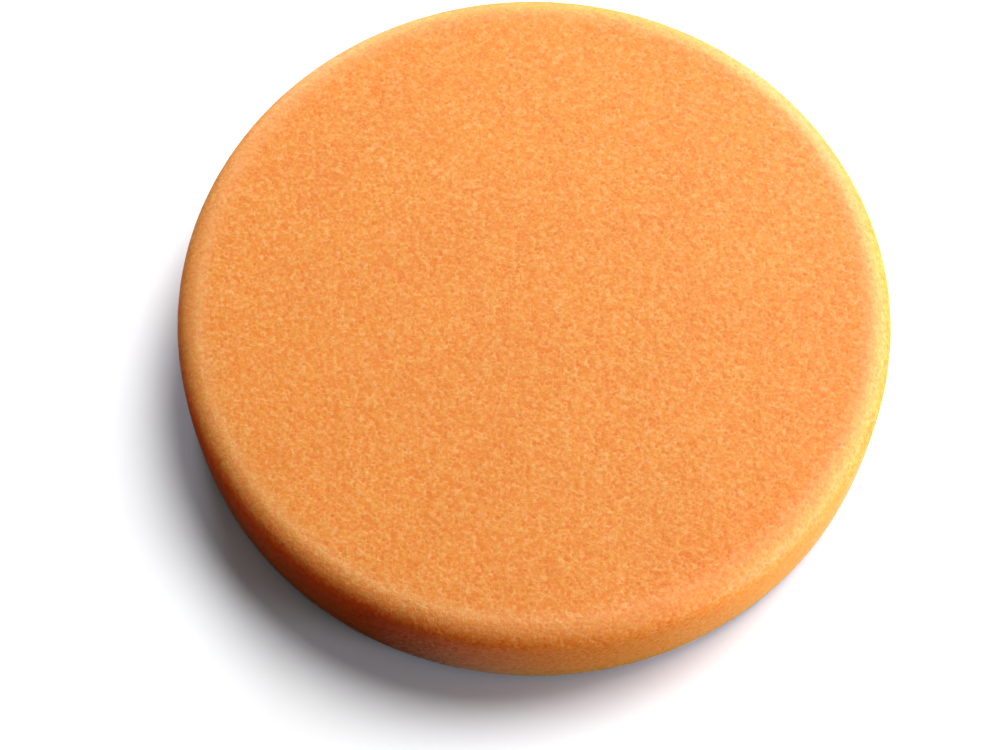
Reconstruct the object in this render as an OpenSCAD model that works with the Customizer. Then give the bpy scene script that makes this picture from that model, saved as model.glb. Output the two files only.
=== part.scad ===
// Flat foam polishing pad for a random-orbital or rotary car polisher.
//
// Four laminated layers, from the bottom up: the loop pile that grips the
// machine's hook plate, the knitted ground the loops stand on, the bond film,
// and the foam disc whose flat top does the polishing.
// The origin is the centre of the loop face, with +Z towards the working face.

/* [Pad] */
// Diameter of the foam disc at its widest
pad_d = 150; // [75:1:200]
// Height from the loop face to the working face
pad_h = 25; // [18:0.5:50]

/* [Foam] */
// Radius of the soft rim around the working face
rim_r = 5; // [2:0.5:6]
// Radius of the foam's lower edge
base_r = 1.2; // [0.6:0.1:2]
// How far the side stands out at half height
side_bulge = 0.4; // [0.2:0.1:1]

/* [Loop backing] */
// How far the backing stops short of the edge of the foam's flat underside
backing_inset = 0.2; // [0.1:0.1:5]
// How far the bond film stops short of the ground fabric's edge
film_inset = 0.3; // [0.1:0.1:1]
// How far the pile stops short of the ground fabric's edge
pile_inset = 0.4; // [0.1:0.1:1]
// Thickness of the bond film
film_t = 0.2; // [0.1:0.05:0.4]
// Thickness of the knitted ground fabric
ground_t = 0.6; // [0.4:0.1:1]
// Height of the loop pile
pile_t = 1.6; // [1:0.1:2.5]

/* [Hidden] */
$fn = 180;

ground_z = pile_t;
film_z = ground_z + ground_t;
foam_z = film_z + film_t;
foam_h = pad_h - foam_z;

// The side of the foam is one shallow arc, widest at half height
half_h = foam_h / 2;
bulge_r = (half_h * half_h + side_bulge * side_bulge) / (2 * side_bulge);
bulge_x = pad_d / 2 - bulge_r;
bulge_fn = 720;

// Where an edge arc of radius r is centred, so that it meets both the flat face
// beside it and the bulged side without a corner
function edge_x(r) = bulge_x + sqrt(pow(bulge_r - r, 2) - pow(half_h - r, 2));

// The backing stays within the flat underside, which ends where the base arc begins
backing_r = edge_x(base_r) - backing_inset;

// Half section of the foam, from the axis out to the side
module foam_outline() {
    rim_c = [edge_x(rim_r), foam_h - rim_r];
    base_c = [edge_x(base_r), base_r];
    side_c = [bulge_x, half_h];
    // Rays from the centre of the side's arc run through both edge centres, well past the side
    reach = 2;
    intersection() {
        translate(side_c) circle(r = bulge_r, $fn = bulge_fn);
        polygon([
            [0, 0],
            [base_c.x, 0],
            base_c,
            base_c + (base_c - side_c) * reach,
            rim_c + (rim_c - side_c) * reach,
            rim_c,
            [rim_c.x, foam_h],
            [0, foam_h]
        ]);
    }
    translate(rim_c) circle(r = rim_r);
    translate(base_c) circle(r = base_r);
}

// Open-cell polyurethane foam, flat on both faces
module foam_disc() {
    color("sandybrown")
        translate([0, 0, foam_z])
            rotate_extrude() foam_outline();
}

// One flat layer of the backing
module layer(r, z, t) {
    translate([0, 0, z]) cylinder(r = r, h = t);
}

// Hot-melt film that bonds the fabric to the foam
module bond_film() {
    color("ivory") layer(backing_r - film_inset, film_z, film_t);
}

// Warp-knitted ground of the loop fabric
module loop_ground() {
    color("gainsboro") layer(backing_r, ground_z, ground_t);
}

// Raised loops, drawn as the space that they fill
module loop_pile() {
    color("white") layer(backing_r - pile_inset, 0, pile_t);
}

foam_disc();
bond_film();
loop_ground();
loop_pile();
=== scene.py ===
"""The looks of the foam polishing pad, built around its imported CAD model.

Everything is in metres in the row frame: the pad stands on its loop face at z = 0, with its
working face up.
"""

import math

import bpy
import numpy as np
from mathutils import Matrix, Vector
from mathutils.geometry import delaunay_2d_cdt


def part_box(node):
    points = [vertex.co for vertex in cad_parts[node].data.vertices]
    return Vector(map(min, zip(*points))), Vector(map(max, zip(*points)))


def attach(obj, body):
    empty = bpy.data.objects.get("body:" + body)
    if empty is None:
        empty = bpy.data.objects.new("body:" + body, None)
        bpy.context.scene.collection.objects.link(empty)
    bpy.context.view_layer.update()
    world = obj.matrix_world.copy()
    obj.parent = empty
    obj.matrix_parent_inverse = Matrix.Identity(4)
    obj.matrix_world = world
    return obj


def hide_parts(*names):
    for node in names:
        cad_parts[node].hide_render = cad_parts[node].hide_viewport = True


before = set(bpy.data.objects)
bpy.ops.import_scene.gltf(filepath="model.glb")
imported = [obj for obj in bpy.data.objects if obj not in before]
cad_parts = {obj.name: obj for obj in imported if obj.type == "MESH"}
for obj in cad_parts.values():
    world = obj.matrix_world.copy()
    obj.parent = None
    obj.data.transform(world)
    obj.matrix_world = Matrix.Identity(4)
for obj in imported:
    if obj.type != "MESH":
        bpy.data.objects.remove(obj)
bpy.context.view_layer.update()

MM = 0.001

# Camera: a 90 mm lens on a 36 mm sensor, at the photograph's viewing angle
CAMERA_PLACE = (-7.2 * MM, -221.5 * MM, 496.9 * MM)
CAMERA_TILT = math.radians(23.44)
CAMERA_ROLL = math.radians(-0.23)
NEAREST_SEEN = 10 * MM
LENS = 90.0

# Studio: the key and top lights are suns, each with its azimuth from +Y towards +X, its elevation
# and its width in degrees, and its power in W/m2
KEY = (40, 58, 33, 2.5)
TOP = (0, 90, 60, 0.18)
# The kickers are small round lamps beside the pad, each with its azimuth, its height and its power in W
KICKERS = [(-24, 90 * MM, 0.43), (38, 110 * MM, 0.56), (85, 80 * MM, 0.41), (125, 30 * MM, 0.78)]
KICKER_REACH = 320 * MM
KICKER_SIZE = 100 * MM
KICKER_COLOUR = (0.85, 0.94, 1.10)
# The background's and the floor's tones, first as the camera sees them and then as they light the pad
SKY_SEEN = (0.775, 0.775, 0.775)
SKY_FELT = (0.06, 0.06, 0.06)
FLOOR_SEEN = (0.98, 0.98, 0.98)
FLOOR_FELT = (0.24, 0.05, 0.02)
FLOOR_REACH = 4.0
LOOK = "Medium High Contrast"

# Foam: the same section as the CAD part, with arcs of these sizes
RIM_R = 5.0 * MM
BASE_R = 1.2 * MM
SIDE_BULGE = 0.4 * MM
# Spacing of the points that the section is worked out at
SECTION_STEP = 0.05 * MM
FEWEST_POINTS = 3
# The middle of the underside, out to about this radius, is closed by one face
CLOSED_R = 1.5 * MM

# Foam cells. The distance between their rings and their jitter are in parts of a cell's size. Under
# the foam, where the backing hides them, they grow by UNDER_GROWTH of the distance in from the edge.
SEED = 20
CELL = 1.01 * MM
RING_STEP = 0.87
CELL_JITTER = 0.32
FEWEST_CELLS = 5
UNDER_GROWTH = 0.45
# Pits, one in each cell. Their mean, their greatest depth and the greatest dip of the walls between
# them are in parts of PIT_DEPTH. A lower evenness mixes deeper pits with shallower ones.
PIT_DEPTH = 0.10 * MM
PIT_MEAN = 0.9
PIT_MOST = 3
PIT_EVENNESS = 1.6
WALL_DIP = 0.25

# Foam colours: the surface's dark, middle and pale specks, painted shade in the pits, and a painted
# highlight, pale cream, on the top of the rim
DARK = (0.72, 0.225, 0.008)
MIDDLE = (0.76, 0.316, 0.040)
PALE = (0.81, 0.425, 0.16)
SPECK_STOPS = (0.30, 0.5, 0.72)
# Painted shade: the colour that the deepest pits are darkened to
PIT_SHADE_TONE = (0.73, 0.235, 0.014)
# The next three paint a pale cream highlight on the top of the rim: its colour, its strength, and how
# far it fades in
RIM_HIGHLIGHT_TONE = (0.84, 0.42, 0.19)
RIM_HIGHLIGHT_STRENGTH = 0.3
RIM_HIGHLIGHT_FADE = 2.5 * MM

# Foam surface: fine specks, broad clouds, and light that soaks in. SOAK_REACH is how far red, green
# and blue light get, in parts of SOAK_DEPTH.
SPECK_SCALE = 1300.0
CLOUD_SCALE = 45.0
CLOUD_STRENGTH = 0.12
SOAK_WEIGHT = 1.0
SOAK_DEPTH = 14 * MM
SOAK_REACH = (1.0, 0.38, 0.14)
FOAM_ROUGHNESS = (0.52, 0.68)
FOAM_SPECULAR = 0.5
FOAM_SHEEN = 0.2
FOAM_SHEEN_ROUGHNESS = 0.3
FOAM_BUMP = (0.6, 0.2 * MM)

# Knitted ground: a ridge every wale, with this many points across it, and a row every course
WALE = 1.25 * MM
COURSE = 1.2 * MM
GROOVE_DEPTH = 0.12 * MM
POINTS_PER_WALE = 4
GROUND_RIM_POINTS = 720
# The points of the ridges stop this far short of the ground's edge
EDGE_MARGIN = 0.3 * MM

# Yarn loops, each of its own height and width between the two sizes given. A loop swells by the part
# LOOP_BELLY on its way down, and its yarn is thinner by the part YARN_TAPER at its ends.
LOOP_HEIGHT = (1.35 * MM, 1.8 * MM)
LOOP_HALF_WIDTH = (0.38 * MM, 0.6 * MM)
LOOP_SCATTER = 0.3 * MM
LOOP_LEAN = 0.8 * MM
LOOP_BELLY = 0.35
LOOP_RINGS = 7
YARN_R = 0.16 * MM
YARN_TAPER = 0.35
YARN_SIDES = 3
# How far the loops' ends are sunk in the ground
ROOT_DEPTH = 0.15 * MM
PILE_PIECES = 4

# Backing materials. A pattern's stops are where its dark and pale colours begin, a bump is its
# strength and distance, and roughness goes from the pattern's low values to its high ones.
YARN_DARK = (0.62, 0.61, 0.59)
YARN_PALE = (0.86, 0.85, 0.83)
YARN_STOPS = (0.32, 0.68)
YARN_TONE_SCALE = 700.0
FILAMENT_SCALE = 9000.0
YARN_ROUGHNESS = (0.55, 0.85)
YARN_BUMP = (0.5, 0.05 * MM)
YARN_SHEEN = 0.25
YARN_SHEEN_ROUGHNESS = 0.5
GROUND_DARK = (0.44, 0.435, 0.425)
GROUND_PALE = (0.66, 0.65, 0.63)
GROUND_STOPS = (0.1, 0.9)
GROUND_ROUGHNESS = (0.9, 0.7)
GROUND_BUMP = (0.8, 0.15 * MM)
GROUND_SHEEN = 0.2
# The wave texture repeats every pi / (10 * scale) metres, which is two courses here
STITCH_SCALE = 0.5 * math.pi / (10 * COURSE)
STITCH_DISTORTION = 1.5
FILM_DARK = (0.70, 0.65, 0.52)
FILM_PALE = (0.80, 0.76, 0.66)
FILM_STOPS = (0.35, 0.65)
FILM_SCALE = 400.0
FILM_ROUGHNESS = (0.3, 0.5)
FILM_BUMP = (0.3, 0.1 * MM)


# ---------------------------------------------------------------- node helpers

# The Mix node's sockets for colours. Its sockets for numbers and vectors have the same names.
MIX_FACTOR, MIX_FIRST, MIX_SECOND, MIX_RESULT = 0, 6, 7, 2


def new_material(name):
    """A material, its node tree and its Principled surface."""
    material = bpy.data.materials.new(name)
    material.use_nodes = True
    return material, material.node_tree, material.node_tree.nodes["Principled BSDF"]


def feed(tree, node, inputs):
    """Gives a node's inputs, by name or number, an output of another node or a value of their own."""
    for key, value in inputs.items():
        socket = node.inputs[key]
        if hasattr(value, "links"):
            tree.links.new(value, socket)
        elif socket.type == "RGBA":
            socket.default_value = (*value, 1.0)
        else:
            socket.default_value = value


def add_node(tree, kind, inputs=None, **properties):
    """A new node with its properties set and its inputs fed."""
    node = tree.nodes.new("ShaderNode" + kind)
    for key, value in properties.items():
        setattr(node, key, value)
    feed(tree, node, inputs or {})
    return node


def ramp(tree, factor, positions, *colours):
    """A colour ramp with one colour at each position."""
    node = add_node(tree, "ValToRGB", {"Fac": factor})
    elements = node.color_ramp.elements
    while len(elements) < len(colours):
        elements.new(1.0)
    for element, position, colour in zip(elements, positions, colours):
        element.position = position
        element.color = (*colour, 1.0)
    return node.outputs["Color"]


def blend_colours(tree, factor, first, second, mode="MIX"):
    """Mixes two colours by a factor. Each of the three is a value or an output of a node."""
    inputs = {MIX_FACTOR: factor, MIX_FIRST: first, MIX_SECOND: second}
    return add_node(tree, "Mix", inputs, data_type="RGBA", blend_type=mode).outputs[MIX_RESULT]


def add_relief(tree, surface, pattern, roughness, bump):
    """Roughness and bump that both follow one pattern."""
    low, high = roughness
    strength, distance = bump
    rough = add_node(tree, "MapRange", {"Value": pattern, "To Min": low, "To Max": high})
    relief = add_node(tree, "Bump", {"Height": pattern, "Strength": strength, "Distance": distance})
    feed(tree, surface, {"Roughness": rough.outputs["Result"], "Normal": relief.outputs["Normal"]})


# ---------------------------------------------------------------- foam shape

def arc(centre, radius, start, end):
    """Points on an arc from start to end, in radians, and their outward normals."""
    count = max(FEWEST_POINTS, int(abs(end - start) * radius / SECTION_STEP))
    angles = np.linspace(start, end, count)
    normals = np.stack([np.cos(angles), np.sin(angles)], axis=1)
    return np.array(centre) + radius * normals, normals


def line(start, end, normal):
    """Points on a straight line, all with the same normal."""
    count = max(FEWEST_POINTS, int(math.dist(start, end) / SECTION_STEP))
    points = np.linspace(start, end, count)
    return points, np.tile(np.array(normal, float), (count, 1))


class Section:
    """The foam's half section, from the centre of its working face, over the rim, down the side
    and back in underneath, with a flat map of the surface that keeps angles true."""

    def __init__(self):
        low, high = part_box("foam_disc")
        radius = (high.x - low.x) / 2
        half = (high.z - low.z) / 2
        bulge_r = (half**2 + SIDE_BULGE**2) / (2 * SIDE_BULGE)
        middle = (radius - bulge_r, low.z + half)

        def edge_x(r):
            """Where an edge arc of radius r is centred, so that it meets the side without a corner."""
            return middle[0] + math.sqrt((bulge_r - r) ** 2 - (half - r) ** 2)

        rim = (edge_x(RIM_R), high.z - RIM_R)
        base = (edge_x(BASE_R), low.z + BASE_R)
        to_rim = math.atan2(rim[1] - middle[1], rim[0] - middle[0])
        to_base = math.atan2(base[1] - middle[1], base[0] - middle[0])
        runs = [
            line((0, high.z), (rim[0], high.z), (0, 1)),
            arc(rim, RIM_R, math.pi / 2, to_rim),
            arc(middle, bulge_r, to_rim, to_base),
            arc(base, BASE_R, to_base, -math.pi / 2),
            line((base[0], low.z), (CLOSED_R, low.z), (0, -1)),
        ]
        points = np.concatenate([places for places, normals in runs])
        self.normals = np.concatenate([normals for places, normals in runs])
        self.r, self.z = points[:, 0], points[:, 1]
        # Distance along the section, and where the rim starts and ends and the underside starts
        steps = np.hypot(np.diff(self.r), np.diff(self.z))
        self.s = np.concatenate([[0.0], np.cumsum(steps)])
        top = len(runs[0][0]) - 1
        self.rim_s = self.s[top], self.s[top + len(runs[1][0])]
        self.under_s = self.s[-len(runs[-1][0])]
        self.length = self.s[-1]
        # On the flat top the map is the face itself. Past it, the map's radius grows by the part ds / r
        # for each step ds along the section, so that small shapes stay as they are.
        growth = steps / np.maximum((self.r[1:] + self.r[:-1]) / 2, SECTION_STEP)
        log_r = np.concatenate([[0.0], np.cumsum(growth)])
        beyond = rim[0] * np.exp(log_r - log_r[top])
        self.flat = np.where(self.s <= self.s[top], self.r, beyond)

    def radius_at(self, s):
        """Distance from the axis at distance s along the section."""
        return np.interp(s, self.s, self.r)

    def to_map(self, s, angle):
        """Places on the flat map of points at distance s along the section."""
        reach = np.interp(s, self.s, self.flat)
        return np.stack([reach * np.cos(angle), reach * np.sin(angle)], axis=1)

    def from_map(self, places):
        """Distance along the section, and angle, of places on the flat map."""
        reach = np.hypot(places[:, 0], places[:, 1])
        return np.interp(reach, self.flat, self.s), np.arctan2(places[:, 1], places[:, 0])

    def to_space(self, s, angle, lift):
        """Points in space, lifted off the surface along its normal."""
        r = np.interp(s, self.s, self.r) + lift * np.interp(s, self.s, self.normals[:, 0])
        z = np.interp(s, self.s, self.z) + lift * np.interp(s, self.s, self.normals[:, 1])
        return np.stack([r * np.cos(angle), r * np.sin(angle), z], axis=1)


def cell_centres(section, rng):
    """Jittered rings of cell centres over the whole foam, as distance along the section and angle."""
    rings = []
    s = CELL / 2
    while s < section.length:
        size = CELL + UNDER_GROWTH * max(0.0, s - section.under_s - CELL)
        count = max(FEWEST_CELLS, round(2 * math.pi * float(section.radius_at(s)) / size))
        angle = (np.arange(count) + rng.random()) * 2 * math.pi / count
        angle += rng.uniform(-CELL_JITTER, CELL_JITTER, count) * 2 * math.pi / count
        along = s + rng.uniform(-CELL_JITTER, CELL_JITTER, count) * size
        rings.append(np.stack([np.clip(along, 0, section.length), angle], axis=1))
        s += size * RING_STEP
    return np.concatenate(rings)


def triangulate(places):
    """Delaunay triangles of places on the flat map, all turning the same way."""
    vectors = [Vector(place) for place in (places / MM).tolist()]
    whole_hull, tolerance = 0, 1e-7
    _, _, faces, *_ = delaunay_2d_cdt(vectors, [], [], whole_hull, tolerance)
    triangles = np.array(faces)
    a, b, c = (places[triangles[:, k]] for k in range(3))
    turn = (b - a)[:, 0] * (c - a)[:, 1] - (b - a)[:, 1] * (c - a)[:, 0]
    triangles[turn < 0] = triangles[turn < 0][:, ::-1]
    return triangles


def relax(places, triangles):
    """Moves each cell centre towards the middle of the triangles around it."""
    middles = places[triangles].mean(axis=1)
    total, uses = np.zeros_like(places), np.zeros(len(places))
    for corner in range(3):
        np.add.at(total, triangles[:, corner], middles)
        np.add.at(uses, triangles[:, corner], 1)
    return total / uses[:, None]


def cell_faces(triangles, count):
    """Six or so small faces for each cell, from its centre to the walls it shares with others.
    Cell centres come first in the list of points, and then the corners where three walls meet."""
    starts = triangles.ravel()
    ends = np.roll(triangles, -1, axis=1).ravel()
    owner = np.repeat(np.arange(len(triangles)), 3)
    key, twin = starts * count + ends, ends * count + starts
    order = np.argsort(key)
    found = np.searchsorted(key[order], twin)
    found = np.minimum(found, len(key) - 1)
    has_twin = key[order][found] == twin
    open_centres = np.unique(np.concatenate([starts[~has_twin], ends[~has_twin]]))
    keep = has_twin & ~np.isin(starts, open_centres)
    beyond = owner[order][found]
    return np.stack([starts, count + beyond, count + owner], axis=1)[keep]


def closing_face(faces):
    """The ring of open edges, in order, as one face that closes the surface."""
    edges = [edge for a, b, c in faces.tolist() for edge in ((a, b), (b, c), (c, a))]
    known = set(edges)
    follow = {end: start for start, end in edges if (end, start) not in known}
    first = next(iter(follow))
    ring = [first]
    while follow[ring[-1]] != first:
        ring.append(follow[ring[-1]])
    return ring


def build_mesh(name, points, faces, attributes=None):
    """An object from numpy points and faces, smooth shaded, with float attributes on its points."""
    mesh = bpy.data.meshes.new(name)
    mesh.from_pydata(points.tolist(), [], faces)
    for key, values in (attributes or {}).items():
        layer = mesh.attributes.new(key, "FLOAT", "POINT")
        layer.data.foreach_set("value", values.astype(np.float32))
    mesh.polygons.foreach_set("use_smooth", [True] * len(mesh.polygons))
    mesh.update()
    piece = bpy.data.objects.new(name, mesh)
    bpy.context.scene.collection.objects.link(piece)
    return piece


def pit_depths(section, s, cells, rng):
    """How far points at s lie below the section: first the middles of the cells, then the corners
    of their walls. The pits fade out where the flat underside begins."""
    middles = PIT_DEPTH * rng.gamma(PIT_EVENNESS, PIT_MEAN / PIT_EVENNESS, cells)
    walls = PIT_DEPTH * WALL_DIP * rng.random(len(s) - cells)
    depths = np.minimum(np.concatenate([middles, walls]), PIT_MOST * PIT_DEPTH)
    return depths * np.clip((section.under_s - s) / CELL, 0, 1)


# A painted highlight along the top of the rim, the same all the way round
def painted_rim_highlight(section, s):
    """How much painted highlight points at s get: most on the first third of the rim, and none past the
    second.
    """
    start, end = section.rim_s
    third = (end - start) / 3
    reach = [start - RIM_HIGHLIGHT_FADE, start, start + third, end - third]
    return RIM_HIGHLIGHT_STRENGTH * np.interp(s, reach, [0, 1, 1, 0])


def make_foam():
    """The foam disc, with every surface cell as a shallow pit in the mesh."""
    rng = np.random.default_rng(SEED)
    section = Section()
    centres = cell_centres(section, rng)
    places = section.to_map(centres[:, 0], centres[:, 1])
    places = relax(places, triangulate(places))
    triangles = triangulate(places)
    corners = places[triangles].mean(axis=1)
    s, angle = section.from_map(np.concatenate([places, corners]))
    depths = pit_depths(section, s, len(places), rng)
    points = section.to_space(s, angle, -depths)
    faces = cell_faces(triangles, len(places))
    ring = closing_face(faces)
    used = np.unique(faces)
    renumber = np.full(len(points), -1)
    renumber[used] = np.arange(len(used))
    all_faces = renumber[faces].tolist() + [renumber[ring].tolist()]
    # The edge values paint a pale highlight on the top of the rim
    attributes = {"pit": depths[used] / PIT_DEPTH, "edge": painted_rim_highlight(section, s[used])}
    return build_mesh("foam_pad", points[used], all_faces, attributes)


# ---------------------------------------------------------------- loop backing

def make_ground():
    """The knitted ground: a closed disc, flat where it meets the film, with a ridge along each row
    of loops."""
    low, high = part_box("loop_ground")
    radius = (high.x - low.x) / 2
    rim_angles = np.linspace(0, 2 * math.pi, GROUND_RIM_POINTS, endpoint=False)
    rim = radius * np.stack([np.cos(rim_angles), np.sin(rim_angles)], axis=1)
    wales = math.ceil(radius / WALE)
    columns = wales * POINTS_PER_WALE
    across = np.arange(-columns, columns + 1) * WALE / POINTS_PER_WALE
    along = np.arange(-wales, wales + 1) * COURSE
    inside = np.stack(np.meshgrid(across, along), axis=-1).reshape(-1, 2)
    inside = inside[np.hypot(inside[:, 0], inside[:, 1]) < radius - EDGE_MARGIN]
    places = np.concatenate([rim, inside])
    triangles = triangulate(places)
    groove = 0.5 - 0.5 * np.cos(2 * math.pi * places[:, 0] / WALE)
    groove[:GROUND_RIM_POINTS] = 0
    under = np.column_stack([places, low.z + GROOVE_DEPTH * groove])
    over = np.column_stack([rim, np.full(GROUND_RIM_POINTS, high.z)])
    count = len(places)
    lower = np.arange(GROUND_RIM_POINTS)
    beside = (lower + 1) % GROUND_RIM_POINTS
    wall = np.stack([lower, beside, count + beside, count + lower], axis=1)
    faces = triangles[:, ::-1].tolist() + wall.tolist() + [(count + lower).tolist()]
    return build_mesh("knit_ground", np.concatenate([under, over]), faces)


def loop_roots(radius, rng):
    """Where the loops stand on the ground: staggered along its ridges, with some scatter."""
    rows = math.ceil(radius / COURSE)
    numbers = np.arange(-rows, rows + 1)
    x, y = np.meshgrid(numbers * WALE, numbers * COURSE)
    y[:, ::2] += COURSE / 2
    roots = np.stack([x.ravel(), y.ravel()], axis=1)
    return roots + rng.uniform(-LOOP_SCATTER, LOOP_SCATTER, roots.shape)


def loop_points(roots, root_z, rng):
    """The yarn of every loop: rings of points along an arch that hangs from the ground.
    The axes of the result are loop, ring, point of the ring, and x, y, z."""
    count = len(roots)
    turn = np.linspace(0, math.pi, LOOP_RINGS)
    heading = rng.uniform(0, 2 * math.pi, count)
    half_width = rng.uniform(*LOOP_HALF_WIDTH, count)[:, None]
    height = rng.uniform(*LOOP_HEIGHT, count)[:, None]
    lean = rng.uniform(-LOOP_LEAN, LOOP_LEAN, count)[:, None]
    along = np.stack([np.cos(heading), np.sin(heading), np.zeros(count)], axis=1)[:, None]
    aside = np.stack([-np.sin(heading), np.cos(heading), np.zeros(count)], axis=1)[:, None]
    spread = half_width * np.cos(turn) * (1 + LOOP_BELLY * np.sin(turn))
    path = along * spread[..., None] + aside * (lean * np.sin(turn))[..., None]
    path[..., 2] = root_z - height * np.sin(turn)
    path[..., :2] += roots[:, None]
    run = np.gradient(path, axis=1)
    run /= np.linalg.norm(run, axis=2, keepdims=True)
    first = aside - run * (aside * run).sum(axis=2, keepdims=True)
    first /= np.linalg.norm(first, axis=2, keepdims=True)
    second = np.cross(run, first)
    spin = np.arange(YARN_SIDES) * 2 * math.pi / YARN_SIDES
    ring = np.cos(spin)[:, None] * first[:, :, None] + np.sin(spin)[:, None] * second[:, :, None]
    thickness = YARN_R * (1 - YARN_TAPER * np.cos(turn) ** 2)
    return path[:, :, None] + thickness[:, None, None] * ring


def tube_faces(count):
    """Faces of closed tubes, for points in the order that loop_points gives them."""
    ring, point = np.meshgrid(np.arange(LOOP_RINGS - 1), np.arange(YARN_SIDES), indexing="ij")
    here = ring * YARN_SIDES
    beside = (point + 1) % YARN_SIDES
    there = here + YARN_SIDES
    sides = np.stack([here + point, here + beside, there + beside, there + point], axis=-1)
    first_end = np.arange(YARN_SIDES)
    last_end = (LOOP_RINGS - 1) * YARN_SIDES + first_end
    starts = np.arange(count)[:, None] * LOOP_RINGS * YARN_SIDES
    faces = (starts[:, None] + sides.reshape(-1, 4)).reshape(-1, 4).tolist()
    faces += (starts + first_end[::-1]).tolist()
    faces += (starts + last_end).tolist()
    return faces


def make_loops():
    """The pile: yarn loops that hang from the ground and stand on what the pad stands on."""
    rng = np.random.default_rng(SEED)
    low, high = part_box("loop_pile")
    radius = (high.x - low.x) / 2
    points = loop_points(loop_roots(radius, rng), high.z + ROOT_DEPTH, rng)
    points[..., 2] = np.maximum(points[..., 2], low.z)
    reach = np.hypot(points[..., 0], points[..., 1]).max(axis=(1, 2))
    points = points[reach <= radius]
    middle = points.mean(axis=(1, 2))
    turns = np.arctan2(middle[:, 1], middle[:, 0]) / (2 * math.pi)
    sector = np.floor(turns * PILE_PIECES) % PILE_PIECES
    pieces = []
    for number in range(PILE_PIECES):
        part = points[sector == number]
        name = f"pile_loops_{number + 1}"
        pieces.append(build_mesh(name, part.reshape(-1, 3), tube_faces(len(part))))
    return pieces


# ---------------------------------------------------------------- materials

def foam_material():
    """Orange open-cell foam: light soaks well into it, its specks and cells mottle the surface, with
    painted shade in the pits and a painted highlight on the rim.
    """
    material, tree, surface = new_material("orange_foam")
    place = add_node(tree, "TexCoord").outputs["Object"]
    speck_inputs = {"Vector": place, "Scale": SPECK_SCALE, "Detail": 2.0, "Roughness": 0.6}
    specks = add_node(tree, "TexNoise", speck_inputs).outputs["Fac"]
    cloud_inputs = {"Vector": place, "Scale": CLOUD_SCALE, "Detail": 3.0}
    clouds = add_node(tree, "TexNoise", cloud_inputs).outputs["Fac"]
    pit = add_node(tree, "Attribute", attribute_name="pit").outputs["Fac"]
    edge = add_node(tree, "Attribute", attribute_name="edge").outputs["Fac"]
    colour = ramp(tree, specks, SPECK_STOPS, DARK, MIDDLE, PALE)
    # Painted shade: the deeper a pit, the darker and deeper orange it is painted
    colour = blend_colours(tree, pit, colour, PIT_SHADE_TONE)
    # Painted highlight: a pale cream on the top of the rim, the same all the way round
    colour = blend_colours(tree, edge, colour, RIM_HIGHLIGHT_TONE)
    colour = blend_colours(tree, CLOUD_STRENGTH, colour, clouds, "SOFT_LIGHT")
    add_relief(tree, surface, specks, FOAM_ROUGHNESS, FOAM_BUMP)
    feed(tree, surface, {
        "Base Color": colour,
        "Subsurface Weight": SOAK_WEIGHT,
        "Subsurface Radius": SOAK_REACH,
        "Subsurface Scale": SOAK_DEPTH,
        "Specular IOR Level": FOAM_SPECULAR,
        "Sheen Weight": FOAM_SHEEN,
        "Sheen Roughness": FOAM_SHEEN_ROUGHNESS,
    })
    return material


def yarn_material():
    """Dull synthetic yarn: each loop a little lighter or darker, with the filaments as fine bump."""
    material, tree, surface = new_material("pile_yarn")
    place = add_node(tree, "TexCoord").outputs["Object"]
    tone_inputs = {"Vector": place, "Scale": YARN_TONE_SCALE, "Detail": 2.0}
    tone = add_node(tree, "TexNoise", tone_inputs).outputs["Fac"]
    filament_inputs = {"Vector": place, "Scale": FILAMENT_SCALE, "Detail": 1.0}
    filaments = add_node(tree, "TexNoise", filament_inputs).outputs["Fac"]
    add_relief(tree, surface, filaments, YARN_ROUGHNESS, YARN_BUMP)
    feed(tree, surface, {
        "Base Color": ramp(tree, tone, YARN_STOPS, YARN_DARK, YARN_PALE),
        "Sheen Weight": YARN_SHEEN,
        "Sheen Roughness": YARN_SHEEN_ROUGHNESS,
    })
    return material


def ground_material():
    """Knitted ground: stitches in rows across the ridges, darker and duller where they dip."""
    material, tree, surface = new_material("knit_ground")
    place = add_node(tree, "TexCoord").outputs["Object"]
    stitch_inputs = {
        "Vector": place,
        "Scale": STITCH_SCALE,
        "Distortion": STITCH_DISTORTION,
        "Detail": 1.0,
        "Detail Scale": 2.0,
    }
    wave = add_node(tree, "TexWave", stitch_inputs, wave_type="BANDS", bands_direction="Y")
    stitches = wave.outputs["Fac"]
    add_relief(tree, surface, stitches, GROUND_ROUGHNESS, GROUND_BUMP)
    feed(tree, surface, {
        "Base Color": ramp(tree, stitches, GROUND_STOPS, GROUND_DARK, GROUND_PALE),
        "Sheen Weight": GROUND_SHEEN,
    })
    return material


def film_material():
    """Hot-melt film: a thin, slightly yellow plastic skin with an uneven melt."""
    material, tree, surface = new_material("bond_film")
    place = add_node(tree, "TexCoord").outputs["Object"]
    melt_inputs = {"Vector": place, "Scale": FILM_SCALE, "Detail": 3.0}
    melt = add_node(tree, "TexNoise", melt_inputs).outputs["Fac"]
    add_relief(tree, surface, melt, FILM_ROUGHNESS, FILM_BUMP)
    feed(tree, surface, {"Base Color": ramp(tree, melt, FILM_STOPS, FILM_DARK, FILM_PALE)})
    return material


# ---------------------------------------------------------------- studio

def seen_or_felt(tree, seen, felt):
    """A colour that is one thing to the camera and another to light on its way to the pad."""
    path = add_node(tree, "LightPath").outputs["Is Camera Ray"]
    return blend_colours(tree, path, felt, seen)


def make_floor():
    """A large matte floor at z = 0."""
    corners = FLOOR_REACH * np.array([[-1, -1, 0], [1, -1, 0], [1, 1, 0], [-1, 1, 0]])
    floor = build_mesh("studio_floor", corners, [[0, 1, 2, 3]])
    material, tree, surface = new_material("white_floor")
    colour = seen_or_felt(tree, FLOOR_SEEN, FLOOR_FELT)
    feed(tree, surface, {"Base Color": colour, "Roughness": 1.0, "Specular IOR Level": 0.0})
    floor.data.materials.append(material)


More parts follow.
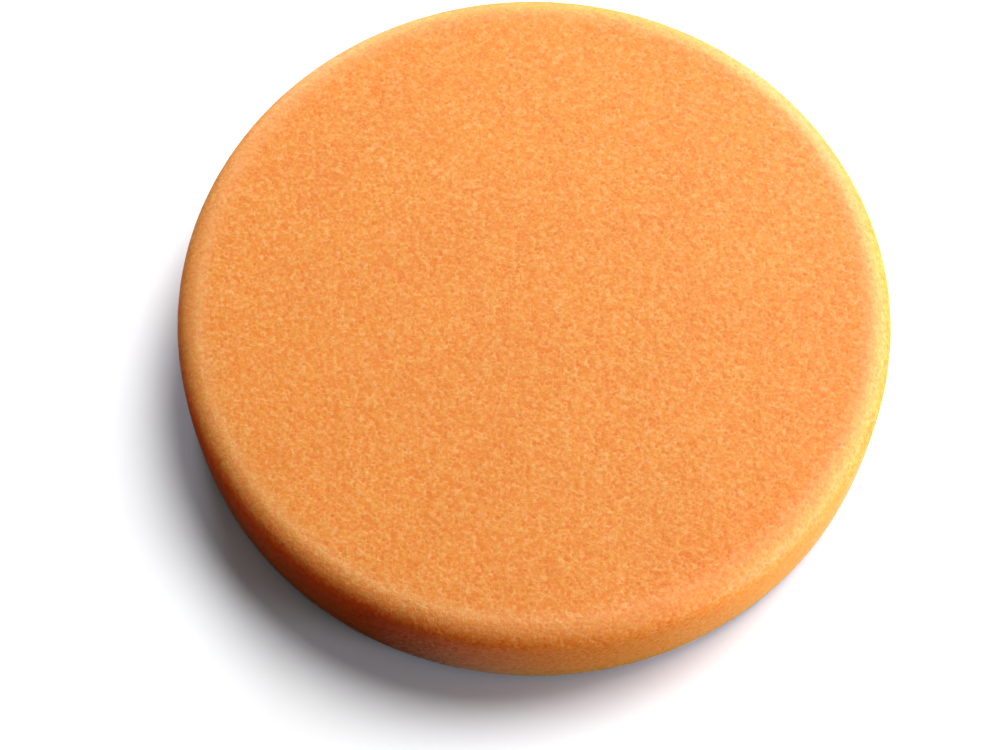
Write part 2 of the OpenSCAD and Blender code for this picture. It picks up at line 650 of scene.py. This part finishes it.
def make_sun(name, azimuth, elevation, width, power):
    """A sun whose light comes from an azimuth and elevation, with soft shadows if it is wide."""
    sun = bpy.data.lights.new(name, "SUN")
    sun.energy = power
    sun.angle = math.radians(width)
    lamp = bpy.data.objects.new(name, sun)
    side, up = math.radians(azimuth), math.radians(elevation)
    towards = Vector((math.sin(side) * math.cos(up), math.cos(side) * math.cos(up), math.sin(up)))
    lamp.rotation_euler = towards.to_track_quat("Z", "Y").to_euler()
    bpy.context.scene.collection.objects.link(lamp)


def make_kicker(azimuth, height, power):
    """A small lamp low beside the pad, hidden from the camera, that lights its rim and side."""
    kicker = bpy.data.lights.new("kicker_light", "AREA")
    kicker.shape = "DISK"
    kicker.size = KICKER_SIZE
    kicker.energy = power
    kicker.color = KICKER_COLOUR
    lamp = bpy.data.objects.new("kicker_light", kicker)
    side = math.radians(azimuth)
    lamp.location = (KICKER_REACH * math.sin(side), KICKER_REACH * math.cos(side), height)
    lamp.rotation_euler = lamp.location.to_track_quat("Z", "Y").to_euler()
    lamp.visible_camera = False
    bpy.context.scene.collection.objects.link(lamp)


def make_lights():
    """The lamps, and a background that also gives an even light."""
    make_sun("key_light", *KEY)
    make_sun("top_light", *TOP)
    for kicker in KICKERS:
        make_kicker(*kicker)
    world = bpy.data.worlds.new("studio")
    world.use_nodes = True
    tree = world.node_tree
    feed(tree, tree.nodes["Background"], {"Color": seen_or_felt(tree, SKY_SEEN, SKY_FELT)})
    bpy.context.scene.world = world


def make_camera():
    """The camera, in the photograph's place."""
    camera = bpy.data.cameras.new("camera")
    camera.lens = LENS
    camera.clip_start = NEAREST_SEEN
    holder = bpy.data.objects.new("camera", camera)
    tilt = Matrix.Rotation(CAMERA_TILT, 4, "X") @ Matrix.Rotation(CAMERA_ROLL, 4, "Z")
    holder.matrix_world = Matrix.Translation(CAMERA_PLACE) @ tilt
    bpy.context.scene.collection.objects.link(holder)
    bpy.context.scene.camera = holder


def set_look():
    """How the light that the camera gathers becomes a picture."""
    settings = bpy.context.scene.view_settings
    settings.view_transform = "Standard"
    settings.look = LOOK


# ---------------------------------------------------------------- the pad in its studio

make_camera()
set_look()
make_lights()
make_floor()

foam = make_foam()
foam.data.materials.append(foam_material())
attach(foam, "root")
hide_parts("foam_disc")

# The bond film is shown as the CAD node, with a material of its own
film = film_material()
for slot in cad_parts["bond_film"].material_slots:
    slot.material = film

loops = make_loops()
yarn = yarn_material()
for part in loops:
    part.data.materials.append(yarn)
    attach(part, "root")
    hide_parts("loop_pile")

ground = make_ground()
ground.data.materials.append(ground_material())
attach(ground, "root")
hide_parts("loop_ground")
